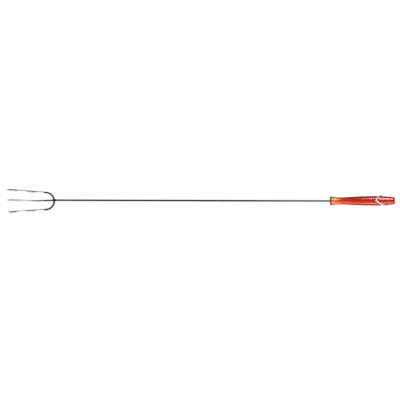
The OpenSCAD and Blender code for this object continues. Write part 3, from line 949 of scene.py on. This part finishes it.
def wood_material():
    n = Nodes("lacquered_wood_red")
    x = n.axis("X")
    u = n.range(x, X_FRONT * MM, X_BUTT * MM)
    wander = n.math("SUBTRACT", n.noise(n.mapped((26, 60, 60)), 1.0, 3, 0.5), 0.5)
    wander = n.math("MULTIPLY", wander, n.range(u, 0.03, 0.14, 0.004, 0.035))
    # Stain along the handle, amber at the flare to deep red; its darkening over the rounded front and butt ends is
    # painted shade where they turn away.
    stain_and_end_shade = n.ramp(n.math("ADD", u, wander), [
        (0.000, (0.15, 0.020, 0.004)), (0.010, (0.20, 0.020, 0.003)), (0.026, (0.27, 0.036, 0.005)), (0.037, (0.66, 0.165, 0.032)),
        (0.082, (0.66, 0.138, 0.021)), (0.128, (0.63, 0.070, 0.009)), (0.175, (0.58, 0.030, 0.0024)), (0.220, (0.51, 0.016, 0.0010)),
        (0.268, (0.47, 0.0108, 0.0005)), (0.314, (0.44, 0.0080, 0.0004)), (0.560, (0.43, 0.0072, 0.0003)), (0.720, (0.43, 0.009, 0.001)),
        (0.850, (0.44, 0.012, 0.002)), (0.975, (0.38, 0.011, 0.002)), (1.000, (0.24, 0.006, 0.0015))])
    # long grain, faint growth rings and short dark pores
    grain = n.noise(n.mapped((7, 420, 420)), 1.0, 5, 0.62, 0.25)
    rings = n.noise(n.mapped((2.2, 95, 95), (0.3, 0.1, 0.7)), 1.0, 2, 0.5, 0.6)
    pores = n.range(n.noise(n.mapped((70, 1500, 1500)), 1.0, 2, 0.5), 0.30, 0.40, 0.0, 1.0)
    shade = n.math("MULTIPLY", n.range(grain, 0.28, 0.72, 0.86, 1.10), n.range(rings, 0.32, 0.68, 0.90, 1.07))
    shade = n.math("MULTIPLY", shade, n.range(pores, 0.0, 1.0, 0.80, 1.0))
    n.to(n.mix(1.0, stain_and_end_shade, shade, "MULTIPLY"), "Base Color")
    n.to(n.range(grain, 0.2, 0.8, 0.33, 0.43), "Roughness")
    n.to(n.range(u, 0.06, 0.18, 0.60, 1.0), "Coat Weight")
    n.to(n.bump(n.math("ADD", grain, n.math("MULTIPLY", pores, 0.6)), 0.12, 0.00003), "Normal")
    n.to(n.bump(n.noise(n.mapped((60, 120, 120)), 1.0, 2, 0.5), 0.03, 0.00002), "Coat Normal")
    n.set(IOR=1.46, Specular_IOR_Level=0.42, Specular_Tint=(1.0, 0.42, 0.20, 1), Coat_Roughness=0.12, Coat_IOR=1.6, Metallic=0.08)
    return n.mat


def shaded_bore_material():
    n = Nodes("bore_wood_and_shade")
    grain = n.noise(n.mapped((900, 900, 260)), 1.0, 4, 0.6)
    # Painted shade: the bore's wood colour is kept dark, as the shade inside the hole.
    n.to(n.ramp(grain, [(0.3, (0.055, 0.012, 0.006)), (0.7, (0.16, 0.035, 0.014))]), "Base Color")
    n.to(n.bump(grain, 0.5, 0.0001), "Normal")
    n.set(Roughness=0.75)
    return n.mat


def shaft_material():
    n = Nodes("blackened_rod")
    x = n.axis("X")
    streak = n.noise(n.mapped((9, 900, 900)), 1.0, 4, 0.6)
    patch = n.noise(n.mapped((22, 130, 130)), 1.0, 5, 0.6, 0.3)
    fine = n.noise(n.mapped((900, 900, 900)), 1.0, 3, 0.6)
    place = n.math("ADD", x, n.math("MULTIPLY", n.math("SUBTRACT", patch, 0.5), 0.05))
    fade = n.range(place, 0.105, 0.215, 0, 1)
    deep = n.range(place, -0.33, 0.02, 1.5, 0.7)
    dark = n.mix(1.0, n.mix(patch, (0.010, 0.0096, 0.0094), (0.020, 0.0194, 0.019)), deep, "MULTIPLY")
    bare = n.mix(streak, (0.085, 0.084, 0.0825), (0.14, 0.138, 0.135))
    mottled = n.math("MULTIPLY_ADD", n.math("SUBTRACT", fine, 0.5), 0.35, fade, clamp=True)
    n.to(n.mix(mottled, dark, bare), "Base Color")
    n.to(n.range(fade, 0, 1, 0.25, 0.95), "Metallic")
    n.to(n.math("ADD", n.range(fade, 0, 1, 0.46, 0.40), n.math("MULTIPLY", n.math("SUBTRACT", fine, 0.5), 0.18)), "Roughness")
    n.to(n.bump(n.math("ADD", streak, n.math("MULTIPLY", fine, 0.5)), 0.30, 0.00005), "Normal")
    n.set(Specular_IOR_Level=0.25)
    return n.mat


def tine_material(name, reflection_bands):
    """Tinned steel that is fire-blackened towards the bow. The tin's colour along the tine is painted with the given
    bands of bright and dark reflection.
    """
    n = Nodes(name)
    x = n.axis("X")
    patch = n.noise(n.mapped((60, 160, 160)), 1.0, 5, 0.6, 0.3)
    streak = n.noise(n.mapped((14, 1100, 1100)), 1.0, 4, 0.6)
    fine = n.noise(n.mapped((1100, 1100, 1100)), 1.0, 3, 0.6)
    edge = n.math("ADD", x, n.math("MULTIPLY", n.math("SUBTRACT", n.noise(n.mapped((240, 240, 240)), 1.0, 2), 0.5), 0.0022))
    black = n.range(edge, -0.3692, -0.3678, 0, 1, smooth=True)
    along = n.range(n.math("ADD", x, n.math("MULTIPLY", n.math("SUBTRACT", patch, 0.5), 0.006)), -0.460, -0.360, 0, 1)
    # Painted reflections: the ramp paints bright and dark bands into the tin's colour along the tine.
    tin_and_reflections = n.mix(1.0, n.ramp(along, reflection_bands, "EASE"), n.range(patch, 0.3, 0.7, 0.86, 1.10), "MULTIPLY")
    tin_and_reflections = n.mix(1.0, tin_and_reflections, n.range(streak, 0.3, 0.7, 0.92, 1.06), "MULTIPLY")
    soot = n.mix(patch, (0.007, 0.0068, 0.0066), (0.016, 0.0155, 0.015))
    n.to(n.mix(black, tin_and_reflections, soot), "Base Color")
    n.to(n.range(black, 0, 1, 1.0, 0.20), "Metallic")
    base_rough = n.math("ADD", n.range(patch, 0.3, 0.7, 0.24, 0.40), n.math("MULTIPLY", black, 0.16))
    n.to(base_rough, "Roughness")
    height = n.math("ADD", n.math("MULTIPLY", streak, 0.7), n.math("ADD", n.math("MULTIPLY", fine, 0.4), n.math("MULTIPLY", black, -1.2)))
    n.to(n.bump(height, 0.28, 0.00005), "Normal")
    n.set(Specular_IOR_Level=0.25)
    return n.mat


# Painted reflections: bright and dark bands along the outer tines and along the centre tine, given as the tin's colour.
OUTER_REFLECTIONS = [(0.00, (0.20, 0.195, 0.19)), (0.05, (0.22, 0.215, 0.21)), (0.10, (0.36, 0.355, 0.345)), (0.24, (0.36, 0.355, 0.34)),
         (0.34, (0.90, 0.885, 0.86)), (0.47, (0.88, 0.865, 0.84)), (0.55, (0.36, 0.345, 0.33)), (0.70, (0.33, 0.32, 0.305)),
         (0.77, (0.86, 0.85, 0.82)), (0.92, (0.80, 0.79, 0.765)), (1.00, (0.5, 0.49, 0.48))]
CENTRE_REFLECTIONS = [(0.00, (0.40, 0.395, 0.385)), (0.12, (0.46, 0.455, 0.44)), (0.30, (0.46, 0.45, 0.425)), (0.42, (0.88, 0.83, 0.77)),
          (0.58, (0.86, 0.77, 0.70)), (0.68, (0.38, 0.335, 0.30)), (0.78, (0.27, 0.265, 0.245)), (1.00, (0.26, 0.258, 0.24))]


def weld_material():
    n = Nodes("weld_black")
    patch = n.noise(n.mapped((420, 420, 420)), 1.0, 5, 0.6)
    n.to(n.ramp(patch, [(0.3, (0.004, 0.0038, 0.0036)), (0.62, (0.012, 0.011, 0.0105)), (0.8, (0.040, 0.033, 0.027))]), "Base Color")
    n.to(n.range(patch, 0.3, 0.7, 0.42, 0.68), "Roughness")
    n.to(n.bump(patch, 0.4, 0.00012), "Normal")
    n.set(Metallic=0.2, Specular_IOR_Level=0.25)
    return n.mat


def cotton_material():
    n = Nodes("cotton_cord")
    uv = n.nt.nodes.new("ShaderNodeUVMap")
    uv.uv_map = "along"
    cleft = n.attribute("cleft")
    fibre = n.noise(n.mapped((2600, 2600, 2600)), 1.0, 4, 0.65)
    v = n.axis("Y", uv.outputs[0])
    wander = n.math("MULTIPLY", n.math("SUBTRACT", n.noise(n.mapped((500, 500, 500)), 1.0, 2), 0.5), 1.6)
    yarn = n.math("SINE", n.math("ADD", n.math("MULTIPLY", v, 2 * math.pi * 27), wander))
    yarn = n.range(yarn, -1, 1, 0, 1)
    tone = n.mix(n.noise(n.mapped((150, 150, 150)), 1.0, 3), (0.96, 0.905, 0.835), (0.985, 0.945, 0.89))
    # Painted shade: the colour is darker deep in the grooves between the plies and in faint stripes between the yarns;
    # the fibre noise is random tone.
    shade = n.math("MULTIPLY", n.range(cleft, 0.15, 1.0, 1.0, 0.62), n.range(yarn, 0, 1, 0.93, 1.02))
    shade = n.math("MULTIPLY", shade, n.range(fibre, 0.3, 0.7, 0.93, 1.04))
    n.to(n.mix(1.0, tone, shade, "MULTIPLY"), "Base Color")
    height = n.math("ADD", n.math("MULTIPLY", yarn, 0.8), n.math("MULTIPLY", fibre, 0.7))
    n.to(n.bump(height, 0.55, 0.00012), "Normal")
    n.set(Roughness=0.92, Sheen_Weight=1.0, Sheen_Roughness=0.4, Specular_IOR_Level=0.25, Subsurface_Weight=0.6,
          Subsurface_Radius=(1.0, 0.85, 0.7), Subsurface_Scale=0.0012)
    return n.mat


WOOD, BORE_SHADE, ROD, WELD_MAT, COTTON = wood_material(), shaded_bore_material(), shaft_material(), weld_material(), cotton_material()
TIN, TIN_CENTRE = tine_material("tinned_tines", OUTER_REFLECTIONS), tine_material("tinned_centre_tine", CENTRE_REFLECTIONS)


def give(obj, *mats):
    obj.data.materials.clear()
    for m in mats:
        obj.data.materials.append(m)


give(handle, WOOD, BORE_SHADE)
# Faces inside the cross hole and the bore get the bore material: bare wood, painted dark as shade inside the hole.
axis_p = lie(set_handle([X_HOLE, 0, 0.0])) * MM
axis_d = unit(lie(set_handle([X_HOLE, math.sin(LEAN), math.cos(LEAN)])) - lie(set_handle([X_HOLE, 0, 0.0])))
front_p = lie(np.array([X_FRONT, 0, 0.0])) * MM
for poly in handle.data.polygons:
    c = np.array(poly.center)
    d = c - axis_p
    away = np.linalg.norm(d - (d @ axis_d) * axis_d)
    b = c - front_p
    from_axis = math.hypot(b[1], b[2] - b[0] * ST / CT)
    poly.material_index = 1 if (away < (HOLE_R + 0.12) * MM or (0.0003 < b[0] < 0.03 and from_axis < 0.0023)) else 0
give(bow, TIN)
give(centre, TIN_CENTRE)
give(shaft, ROD)
give(weld, WELD_MAT)
for obj in (hitch_rope, strand_a, strand_b, knot_rope, fray_a, fray_b):
    give(obj, COTTON)
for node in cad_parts.values():
    give(node, {"handle": WOOD, "shaft": ROD, "weld_bead": WELD_MAT}.get(node.name, COTTON if node.name.startswith("cord") else TIN))


# ---- floor, light and world ------------------------------------------------------------------
def floor():
    s = 12.0
    obj = make_object("pale_floor", [(-s, -s, -0.0002), (s, -s, -0.0002), (s, s, -0.0002), (-s, s, -0.0002)], [(0, 1, 2, 3)], smooth=False, scale=1.0)
    mat = bpy.data.materials.new("pale_floor")
    mat.use_nodes = True
    nt = mat.node_tree
    nt.nodes.clear()
    out = nt.nodes.new("ShaderNodeOutputMaterial")
    em = nt.nodes.new("ShaderNodeEmission")
    em.inputs["Color"].default_value = (1, 1, 1, 1)
    em.inputs["Strength"].default_value = 1.0
    nt.links.new(em.outputs[0], out.inputs[0])
    obj.data.materials.append(mat)
    obj.visible_glossy = False
    obj.visible_diffuse = False
    obj.visible_shadow = False
    return obj


floor()


def area(name, location, target, size, watts, colour=(1, 1, 1)):
    data = bpy.data.lights.new(name, "AREA")
    data.shape = "RECTANGLE"
    data.size, data.size_y = size
    data.energy = watts
    data.color = colour
    obj = bpy.data.objects.new(name, data)
    bpy.context.scene.collection.objects.link(obj)
    obj.location = location
    obj.rotation_mode = "QUATERNION"
    obj.rotation_quaternion = (Vector(location) - Vector(target)).to_track_quat("Z", "Y")
    obj.visible_camera = False
    return obj


def strip(name, x0, x1, side, low, high, radiance, colour=(1, 1, 1), far=1.0):
    """A softbox along the fork, from angle low to angle high off the vertical, to one side."""
    mid, wide = math.radians((low + high) / 2), 2 * far * math.tan(math.radians((high - low) / 2))
    at_y, at_z = side * far * math.sin(mid), far * math.cos(mid)
    x = (x0 + x1) / 2
    return area(name, (x, at_y, at_z), (x, 0, 0), (x1 - x0, wide), radiance * math.pi * (x1 - x0) * wide, colour)


for k, (x0, x1, low, high, power) in enumerate((
        (0.305, 0.345, 46, 70, 2.2), (0.345, 0.405, 44, 70, 9.0), (0.405, 0.720, 34, 72, 9.2))):
    key = strip("key_%d" % (k + 1), x0, x1, 1, low, high, power, (1.0, 0.95, 0.89))
    key.visible_diffuse = False
strip("key_left", -0.80, 0.160, 1, 46, 80, 0.9)
strip("fill_left", -0.80, 0.190, -1, 30, 80, 2.6)
for k, (x0, x1, low, high, power) in enumerate((
        (0.190, 0.345, 32, 80, 1.5), (0.345, 0.405, 54, 82, 6.0), (0.405, 0.720, 37, 78, 4.6))):
    fill = strip("fill_right_%d" % (k + 1), x0, x1, -1, low, high, power, (1.0, 0.72, 0.48))
    fill.visible_diffuse = k == 0

# Soft light from all round for the colours themselves; the strips above give the gloss.
world = bpy.data.worlds.new("studio")
bpy.context.scene.world = world
world.use_nodes = True
wt = world.node_tree
wt.nodes.clear()
w_out = wt.nodes.new("ShaderNodeOutputWorld")
w_path = wt.nodes.new("ShaderNodeLightPath")
w_coord = wt.nodes.new("ShaderNodeTexCoord")
w_sep = wt.nodes.new("ShaderNodeSeparateXYZ")
w_ramp = wt.nodes.new("ShaderNodeValToRGB")
w_soft = wt.nodes.new("ShaderNodeBackground")
w_gloss = wt.nodes.new("ShaderNodeBackground")
w_seen = wt.nodes.new("ShaderNodeBackground")
w_mix = wt.nodes.new("ShaderNodeMixShader")
w_mix2 = wt.nodes.new("ShaderNodeMixShader")
wt.links.new(w_coord.outputs["Generated"], w_sep.inputs[0])
w_map = wt.nodes.new("ShaderNodeMapRange")
w_map.inputs["From Min"].default_value, w_map.inputs["From Max"].default_value = -1, 1
wt.links.new(w_sep.outputs["Z"], w_map.inputs["Value"])
wt.links.new(w_map.outputs[0], w_ramp.inputs["Fac"])
el = w_ramp.color_ramp.elements
el[0].position, el[0].color = 0.0, (0.30, 0.30, 0.30, 1)
el[1].position, el[1].color = 1.0, (0.08, 0.08, 0.08, 1)
for pos, g in ((0.49, 0.30), (0.53, 0.34), (0.80, 0.12)):
    e = el.new(pos)
    e.color = (g, g, g, 1)
def leaning(colour, target, y0, y1, least, most=1.0):
    """The studio is darker on the +Y side, from direction y0 to y1."""
    side = wt.nodes.new("ShaderNodeMapRange")
    side.inputs["From Min"].default_value, side.inputs["From Max"].default_value = y0, y1
    side.inputs["To Min"].default_value, side.inputs["To Max"].default_value = most, least
    wt.links.new(w_sep.outputs["Y"], side.inputs["Value"])
    wt.links.new(colour, target.inputs["Color"])
    wt.links.new(side.outputs[0], target.inputs["Strength"])


leaning(w_ramp.outputs[0], w_gloss, 0.3, 0.95, 0.3)
w_dome = wt.nodes.new("ShaderNodeValToRGB")
wt.links.new(w_map.outputs[0], w_dome.inputs["Fac"])
el = w_dome.color_ramp.elements
el[0].position, el[0].color = 0.0, (0.46, 0.46, 0.46, 1)
el[1].position, el[1].color = 1.0, (1.0, 1.0, 1.0, 1)
e = el.new(0.5)
e.color = (0.46, 0.46, 0.46, 1)
leaning(w_dome.outputs[0], w_soft, 0.0, 0.9, 0.40, 1.60)
w_seen.inputs["Color"].default_value = (1, 1, 1, 1)
wt.links.new(w_path.outputs["Is Glossy Ray"], w_mix2.inputs[0])
wt.links.new(w_soft.outputs[0], w_mix2.inputs[1])
wt.links.new(w_gloss.outputs[0], w_mix2.inputs[2])
wt.links.new(w_path.outputs["Is Camera Ray"], w_mix.inputs[0])
wt.links.new(w_mix2.outputs[0], w_mix.inputs[1])
wt.links.new(w_seen.outputs[0], w_mix.inputs[2])
wt.links.new(w_mix.outputs[0], w_out.inputs[0])

scene = bpy.context.scene
scene.view_settings.view_transform = "Standard"
scene.view_settings.look = "None"
scene.view_settings.exposure = 0.0
scene.view_settings.gamma = 1.0
